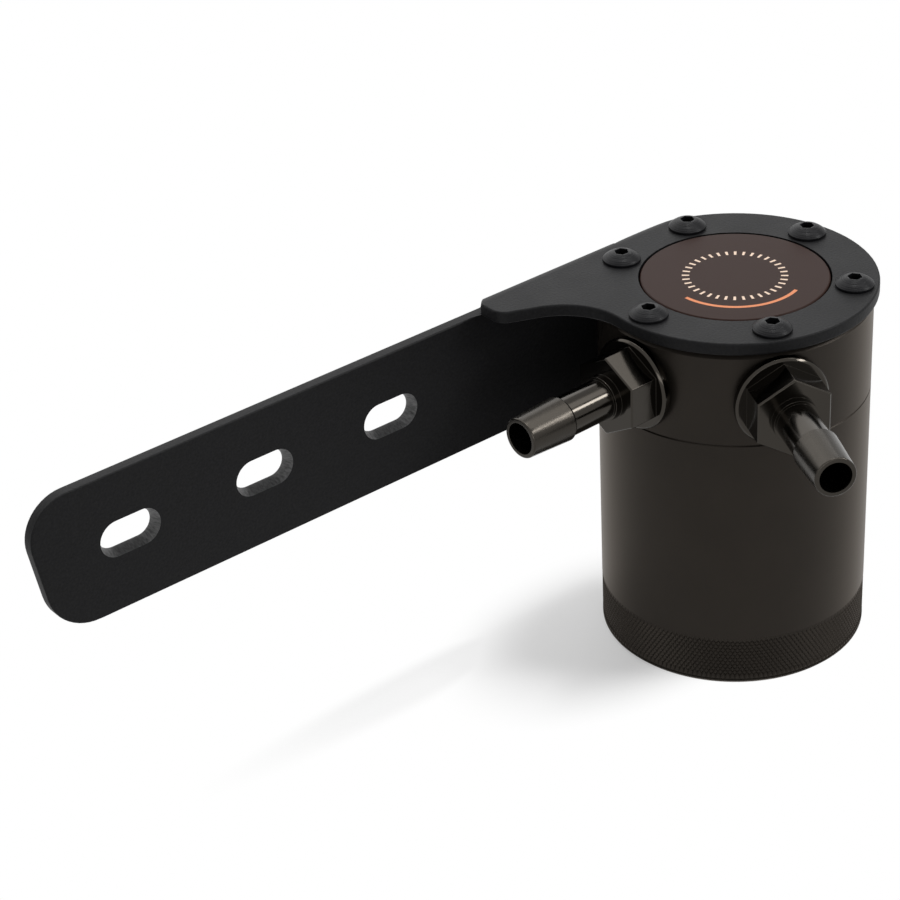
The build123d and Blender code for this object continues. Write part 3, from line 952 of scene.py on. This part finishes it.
class CATCHCAN_OT_screws(bpy.types.Operator):
    """Make the six button head screws, each with its distance from its own axis kept for its rings"""

    bl_idname = "catchcan.screws"
    bl_label = "Screws"

    def execute(self, context):
        screws = copy_of("bracket_screws", "bracket_screws_oxide")
        break_edges(screws, context.scene.catch_can_sizes.edge_break)
        shade(screws)
        bpy.ops.object.mode_set(mode="EDIT")
        bpy.ops.mesh.separate(type="LOOSE")
        bpy.ops.object.mode_set(mode="OBJECT")
        for screw in context.selected_objects:
            # Corners 0 and 6 of a bounding box lie opposite each other
            corners = [Vector(corner) for corner in screw.bound_box]
            axis = (corners[0] + corners[6]) / 2
            distances = [radius_of(v.co - axis) for v in screw.data.vertices]
            screw.data.attributes.new("from_axis", "FLOAT", "POINT").data.foreach_set("value", distances)
        context.view_layer.objects.active = screws
        bpy.ops.object.join()
        seat(screws, "bracket_screws", black_oxide())
        return {"FINISHED"}


class CATCHCAN_OT_fittings(bpy.types.Operator):
    """Make the two hose fittings"""

    bl_idname = "catchcan.fittings"
    bl_label = "Hose fittings"

    def execute(self, context):
        finish = gunmetal_anodised()
        for port in ("inlet", "outlet"):
            fitting = copy_of(f"{port}_fitting", f"{port}_barb_bright")
            break_edges(fitting, context.scene.catch_can_sizes.edge_break)
            shade(fitting)
            seat(fitting, f"{port}_fitting", finish)
        return {"FINISHED"}


class CATCHCAN_OT_inside(bpy.types.Operator):
    """Give the seals, filter, tube and baffle their finishes"""

    bl_idname = "catchcan.inside"
    bl_label = "Seals and inside"

    def execute(self, context):
        colours = context.scene.catch_can_colours
        rubber, bronze = nitrile_rubber(), sintered_bronze()
        tube = lined_metal("drawn_aluminium", colours.tube, stretch=(1, 1, 0.02), rough=0.32)
        steel = lined_metal("brushed_steel", colours.baffle, stretch=(0.02, 1, 1), rough=0.36)
        finishes = {
            "can_seal": rubber, "inlet_seal": rubber, "outlet_seal": rubber, "filter_gasket": rubber,
            "bronze_filter": bronze, "drop_tube": tube, "baffle_plate": steel, "baffle_screws": steel,
        }
        for node, material in finishes.items():
            frame["nodes"][node].data.materials.clear()
            frame["nodes"][node].data.materials.append(material)
        return {"FINISHED"}


class CATCHCAN_OT_stage(bpy.types.Operator):
    """Set up the floor, the light and the camera"""

    bl_idname = "catchcan.stage"
    bl_label = "Stage"

    def execute(self, context):
        stage = context.scene.catch_can_stage
        self.floor(stage)
        self.light(context, stage)
        self.camera(context, stage)
        context.scene.view_settings.view_transform = "Standard"
        return {"FINISHED"}

    def looked_at(self, tree):
        """1 where the camera looks, straight, in a reflection or through glass, and 0 for other light."""
        rays = add_node(tree, "ShaderNodeLightPath").outputs
        seen = add_node(
            tree, "ShaderNodeMath", {0: rays["Is Camera Ray"], 1: rays["Is Glossy Ray"]}, operation="MAXIMUM"
        ).outputs["Value"]
        return add_node(
            tree, "ShaderNodeMath", {0: seen, 1: rays["Is Transmission Ray"]}, operation="MAXIMUM"
        ).outputs["Value"]

    def floor(self, stage, width=12.0, core=0.4):
        """A wide pale floor that keeps shadow in two ovals, most of all in their cores, and else is white."""
        bpy.ops.object.select_all(action="DESELECT")
        bpy.ops.mesh.primitive_plane_add(size=width, location=(0, 0, 0))
        floor = bpy.context.active_object
        floor.name = "floor"
        # Matt paper without gloss: a soft grey shadow close to the object, and plain white further off
        material, tree, place = new_material("floor_paper")
        outside = []
        ovals = (
            (stage.foot_middle, stage.foot_shadow, stage.foot_white),
            (stage.arm_middle, stage.arm_shadow, stage.arm_white),
        )
        for middle, reach, least_white in ovals:
            offset = add_node(
                tree, "ShaderNodeVectorMath", {0: place, 1: (*middle, 0)}, operation="SUBTRACT"
            ).outputs["Vector"]
            oval = add_node(
                tree, "ShaderNodeVectorMath", {0: offset, 1: (*reach, 1)}, operation="DIVIDE"
            ).outputs["Vector"]
            away = add_node(tree, "ShaderNodeVectorMath", {0: oval}, operation="LENGTH").outputs["Value"]
            outside.append(
                add_node(
                    tree,
                    "ShaderNodeMapRange",
                    {"Value": away, "From Min": core, "To Min": least_white},
                    interpolation_type="SMOOTHSTEP",
                ).outputs["Result"]
            )
        white = add_node(
            tree, "ShaderNodeMath", {0: outside[0], 1: outside[1]}, operation="MINIMUM"
        ).outputs["Value"]
        share = add_node(
            tree, "ShaderNodeMath", {0: self.looked_at(tree), 1: white}, operation="MULTIPLY"
        ).outputs["Value"]
        paper = add_node(tree, "ShaderNodeBsdfDiffuse", {"Color": stage.floor_colour}).outputs["BSDF"]
        glow = add_node(tree, "ShaderNodeEmission", {"Strength": 1.0}).outputs["Emission"]
        mix = add_node(tree, "ShaderNodeMixShader", {0: share, 1: paper, 2: glow}).outputs["Shader"]
        add_node(tree, "ShaderNodeOutputMaterial", {"Surface": mix})
        floor.data.materials.append(material)

    def light(self, context, stage):
        """Faint light all round, a small lamp overhead, and softboxes above, behind, right and in front."""
        world = bpy.data.worlds.new("studio")
        context.scene.world = world
        world.use_nodes = True
        tree = world.node_tree
        tree.nodes.clear()
        level = add_node(
            tree, "ShaderNodeMapRange", {"Value": self.looked_at(tree), "To Min": stage.sky_strength}
        ).outputs["Result"]
        sky = add_node(
            tree, "ShaderNodeBackground", {"Color": stage.sky_colour, "Strength": level}
        ).outputs["Background"]
        add_node(tree, "ShaderNodeOutputWorld", {"Surface": sky})
        self.lamp("key_light", stage.key_strength, place=(0.09, 0.04, 0.80), width=0.07, height=0.07)
        self.lamp("top_light", stage.top_strength, place=(0.10, 0.08, 0.80), width=1.30, height=0.45)
        self.lamp("back_light", stage.back_strength, place=(0.15, 1.00, 0.70), width=2.20, height=0.70)
        self.lamp("side_light", stage.side_strength, place=(0.47, -0.54, 0.60), width=0.30, height=0.14)
        self.lamp("front_light", stage.front_strength, place=(-0.78, -1.00, 0.36), width=1.20, height=0.30)

    def lamp(self, name, strength, place, width, height, aim=(0, 0, 60 * MM)):
        """A flat lamp that looks as bright as its strength says, whatever its size, turned to the object."""
        bpy.ops.object.light_add(type="AREA", location=place)
        lamp = bpy.context.active_object
        lamp.name = name
        lamp.rotation_euler = (Vector(aim) - Vector(place)).to_track_quat("-Z", "Y").to_euler()
        lamp.data.shape = "RECTANGLE"
        lamp.data.size, lamp.data.size_y = width, height
        lamp.data.energy = strength * pi * width * height

    def camera(self, context, stage):
        """The photograph's camera."""
        bpy.ops.object.camera_add()
        camera = context.active_object
        camera.name = "camera"
        camera.data.lens = stage.camera_lens
        camera.data.sensor_width = 36.0
        turn = (
            Matrix.Rotation(stage.camera_azimuth, 4, "Z")
            @ Matrix.Rotation(pi / 2 - stage.camera_elevation, 4, "X")
            @ Matrix.Rotation(stage.camera_roll, 4, "Z")
        )
        camera.matrix_world = Matrix.Translation(stage.camera_place) @ turn
        camera.data.clip_start = 0.01
        context.scene.camera = camera


OPERATORS = (
    CATCHCAN_OT_can,
    CATCHCAN_OT_head,
    CATCHCAN_OT_bracket,
    CATCHCAN_OT_badge,
    CATCHCAN_OT_screws,
    CATCHCAN_OT_fittings,
    CATCHCAN_OT_inside,
    CATCHCAN_OT_stage,
)


class CATCHCAN_PT_sidebar(bpy.types.Panel):
    """The catch can's pieces, in the 3D view's sidebar"""

    bl_idname = "CATCHCAN_PT_sidebar"
    bl_label = "Catch can"
    bl_space_type = "VIEW_3D"
    bl_region_type = "UI"
    bl_category = "Catch can"

    def draw(self, context):
        for operator in OPERATORS:
            self.layout.operator(operator.bl_idname)


GROUPS = {
    "catch_can_sizes": CatchCanSizes,
    "catch_can_colours": CatchCanColours,
    "catch_can_stage": CatchCanStage,
}


def register():
    """Add the classes, and the sizes, colours and stage of each scene."""
    for name, group in GROUPS.items():
        bpy.utils.register_class(group)
        setattr(bpy.types.Scene, name, bpy.props.PointerProperty(type=group))
    for cls in (*OPERATORS, CATCHCAN_PT_sidebar):
        bpy.utils.register_class(cls)


def unregister():
    """Take out what register added."""
    for cls in (CATCHCAN_PT_sidebar, *reversed(OPERATORS)):
        bpy.utils.unregister_class(cls)
    for name, group in reversed(GROUPS.items()):
        delattr(bpy.types.Scene, name)
        bpy.utils.unregister_class(group)


def main():
    """Make the pieces and the stage."""
    register()
    bpy.ops.catchcan.can()
    bpy.ops.catchcan.head()
    bpy.ops.catchcan.bracket()
    bpy.ops.catchcan.badge()
    bpy.ops.catchcan.screws()
    bpy.ops.catchcan.fittings()
    bpy.ops.catchcan.inside()
    bpy.ops.catchcan.stage()


if __name__ == "__main__":
    main()
